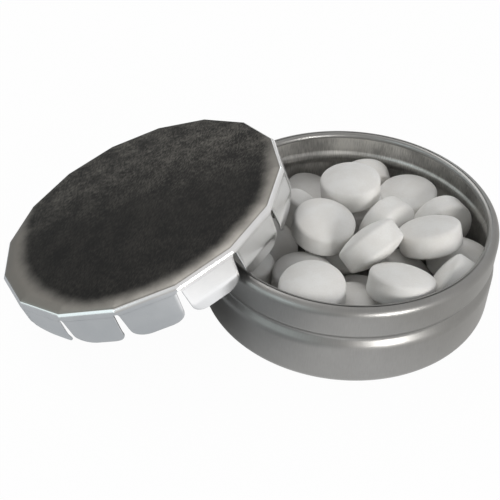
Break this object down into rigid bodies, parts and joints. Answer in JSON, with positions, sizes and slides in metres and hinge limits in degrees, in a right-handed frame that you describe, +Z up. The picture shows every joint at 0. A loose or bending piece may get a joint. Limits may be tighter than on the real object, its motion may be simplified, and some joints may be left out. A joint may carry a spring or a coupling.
{
  "type": "mint tin",
  "caption": "Small round metal mint tin, open and heaped with white mints, its slotted click lid leaning on the rim.",
  "frame": {"origin": "centre of the tin's flat bottom, on the surface it stands on", "axes": "+Z up along the tin's axis, +X right and +Y away as seen in the picture; the lid leans on the -X side of the rim"},
  "size_m": [0.0805, 0.0496, 0.0228],
  "materials": {
    "tin_metal": "satin",
    "lid_metal": "satin",
    "lid_face": "brushed",
    "mint": "matt"
  },
  "bodies": {
    "tin": {"tin_base": "tin_metal", "mint_01": "mint", "mint_02": "mint", "mint_05": "mint", "mint_07": "mint", "mint_09": "mint", "mint_11": "mint", "mint_12": "mint", "mint_13": "mint", "mint_14": "mint", "mint_15": "mint", "mint_16": "mint", "mint_17": "mint", "mint_18": "mint", "mint_19": "mint", "mint_20": "mint", "mint_21": "mint", "mint_22": "mint", "mint_23": "mint", "mint_24": "mint", "mint_25": "mint"},
    "lid": {"lid_rim": "lid_metal"},
    "lid_press": {"lid_panel": "lid_face"},
    "tab_01": {"lid_tab_01": "lid_metal"},
    "tab_02": {"lid_tab_02": "lid_metal"},
    "tab_03": {"lid_tab_03": "lid_metal"},
    "tab_04": {"lid_tab_04": "lid_metal"},
    "tab_05": {"lid_tab_05": "lid_metal"},
    "tab_06": {"lid_tab_06": "lid_metal"},
    "tab_07": {"lid_tab_07": "lid_metal"},
    "tab_08": {"lid_tab_08": "lid_metal"},
    "tab_09": {"lid_tab_09": "lid_metal"},
    "tab_10": {"lid_tab_10": "lid_metal"},
    "tab_11": {"lid_tab_11": "lid_metal"},
    "tab_12": {"lid_tab_12": "lid_metal"},
    "tab_13": {"lid_tab_13": "lid_metal"},
    "tab_14": {"lid_tab_14": "lid_metal"},
    "tab_15": {"lid_tab_15": "lid_metal"},
    "tab_16": {"lid_tab_16": "lid_metal"},
    "mint_03_loose": {"mint_03": "mint"},
    "mint_06_loose": {"mint_06": "mint"},
    "mint_08_loose": {"mint_08": "mint"},
    "mint_04_loose": {"mint_04": "mint"},
    "mint_10_loose": {"mint_10": "mint"}
  },
  "joints": [
    {"name": "lid_lift", "type": "slide", "parent": "tin", "child": "lid", "axis": [0, 0, 1], "range_m": [0, 0.035]},
    {"name": "panel_press", "type": "slide", "parent": "lid", "child": "lid_press", "axis": [0.3445, -0.0347, -0.9381], "range_m": [0, 0.0009], "stiffness_N_per_m": 2000},
    {"name": "flare_01", "type": "hinge", "parent": "lid", "child": "tab_01", "pos_m": [-0.02782, 0.02428, 0.0145], "axis": [0.9102, -0.2325, 0.3428], "range_deg": [0, 7]},
    {"name": "flare_02", "type": "hinge", "parent": "lid", "child": "tab_02", "pos_m": [-0.03656, 0.02464, 0.01128], "axis": [0.9289, 0.1572, 0.3353], "range_deg": [0, 7]},
    {"name": "flare_03", "type": "hinge", "parent": "lid", "child": "tab_03", "pos_m": [-0.0448, 0.02141, 0.00838], "axis": [0.8062, 0.5229, 0.2767], "range_deg": [0, 7]},
    {"name": "flare_04", "type": "hinge", "parent": "lid", "child": "tab_04", "pos_m": [-0.0513, 0.01508, 0.00623], "axis": [0.5608, 0.809, 0.176], "range_deg": [0, 7]},
    {"name": "flare_05", "type": "hinge", "parent": "lid", "child": "tab_05", "pos_m": [-0.05505, 0.00662, 0.00516], "axis": [0.23, 0.972, 0.0485], "range_deg": [0, 7]},
    {"name": "flare_06", "type": "hinge", "parent": "lid", "child": "tab_06", "pos_m": [-0.0555, -0.00269, 0.00534], "axis": [-0.1358, 0.987, -0.0864], "range_deg": [0, 7]},
    {"name": "flare_07", "type": "hinge", "parent": "lid", "child": "tab_07", "pos_m": [-0.05257, -0.01142, 0.00674], "axis": [-0.481, 0.8517, -0.2081], "range_deg": [0, 7]},
    {"name": "flare_08", "type": "hinge", "parent": "lid", "child": "tab_08", "pos_m": [-0.04671, -0.01825, 0.00914], "axis": [-0.7529, 0.5867, -0.2982], "range_deg": [0, 7]},
    {"name": "flare_09", "type": "hinge", "parent": "lid", "child": "tab_09", "pos_m": [-0.03881, -0.02214, 0.01219], "axis": [-0.9102, 0.2325, -0.3428], "range_deg": [0, 7]},
    {"name": "flare_10", "type": "hinge", "parent": "lid", "child": "tab_10", "pos_m": [-0.03007, -0.0225, 0.01541], "axis": [-0.9289, -0.1572, -0.3353], "range_deg": [0, 7]},
    {"name": "flare_11", "type": "hinge", "parent": "lid", "child": "tab_11", "pos_m": [-0.02183, -0.01927, 0.01832], "axis": [-0.8062, -0.5229, -0.2767], "range_deg": [0, 7]},
    {"name": "flare_12", "type": "hinge", "parent": "lid", "child": "tab_12", "pos_m": [-0.01534, -0.01294, 0.02047], "axis": [-0.5608, -0.809, -0.176], "range_deg": [0, 7]},
    {"name": "flare_13", "type": "hinge", "parent": "lid", "child": "tab_13", "pos_m": [-0.01158, -0.00448, 0.02153], "axis": [-0.23, -0.972, -0.0485], "range_deg": [0, 7]},
    {"name": "flare_14", "type": "hinge", "parent": "lid", "child": "tab_14", "pos_m": [-0.01114, 0.00482, 0.02135], "axis": [0.1358, -0.987, 0.0864], "range_deg": [0, 7]},
    {"name": "flare_15", "type": "hinge", "parent": "lid", "child": "tab_15", "pos_m": [-0.01406, 0.01355, 0.01995], "axis": [0.481, -0.8517, 0.2081], "range_deg": [0, 7]},
    {"name": "flare_16", "type": "hinge", "parent": "lid", "child": "tab_16", "pos_m": [-0.01992, 0.02039, 0.01755], "axis": [0.7529, -0.5867, 0.2982], "range_deg": [0, 7]},
    {"name": "mint_03_lift", "type": "slide", "parent": "tin", "child": "mint_03_loose", "axis": [0, 0, 1], "range_m": [0, 0.03]},
    {"name": "mint_06_lift", "type": "slide", "parent": "tin", "child": "mint_06_loose", "axis": [0, 0, 1], "range_m": [0, 0.03]},
    {"name": "mint_08_lift", "type": "slide", "parent": "tin", "child": "mint_08_loose", "axis": [0, 0, 1], "range_m": [0, 0.03]},
    {"name": "mint_04_lift", "type": "slide", "parent": "tin", "child": "mint_04_loose", "axis": [0, -0.1483, 0.9889], "range_m": [0, 0.03]},
    {"name": "mint_10_lift", "type": "slide", "parent": "tin", "child": "mint_10_loose", "axis": [0, -0.1483, 0.9889], "range_m": [0, 0.03]}
  ],
  "couplings": [
    {"joint": "flare_01", "follows": "panel_press", "rad_per_m": 135.7},
    {"joint": "flare_02", "follows": "panel_press", "rad_per_m": 135.7},
    {"joint": "flare_03", "follows": "panel_press", "rad_per_m": 135.7},
    {"joint": "flare_04", "follows": "panel_press", "rad_per_m": 135.7},
    {"joint": "flare_05", "follows": "panel_press", "rad_per_m": 135.7},
    {"joint": "flare_06", "follows": "panel_press", "rad_per_m": 135.7},
    {"joint": "flare_07", "follows": "panel_press", "rad_per_m": 135.7},
    {"joint": "flare_08", "follows": "panel_press", "rad_per_m": 135.7},
    {"joint": "flare_09", "follows": "panel_press", "rad_per_m": 135.7},
    {"joint": "flare_10", "follows": "panel_press", "rad_per_m": 135.7},
    {"joint": "flare_11", "follows": "panel_press", "rad_per_m": 135.7},
    {"joint": "flare_12", "follows": "panel_press", "rad_per_m": 135.7},
    {"joint": "flare_13", "follows": "panel_press", "rad_per_m": 135.7},
    {"joint": "flare_14", "follows": "panel_press", "rad_per_m": 135.7},
    {"joint": "flare_15", "follows": "panel_press", "rad_per_m": 135.7},
    {"joint": "flare_16", "follows": "panel_press", "rad_per_m": 135.7}
  ]
}
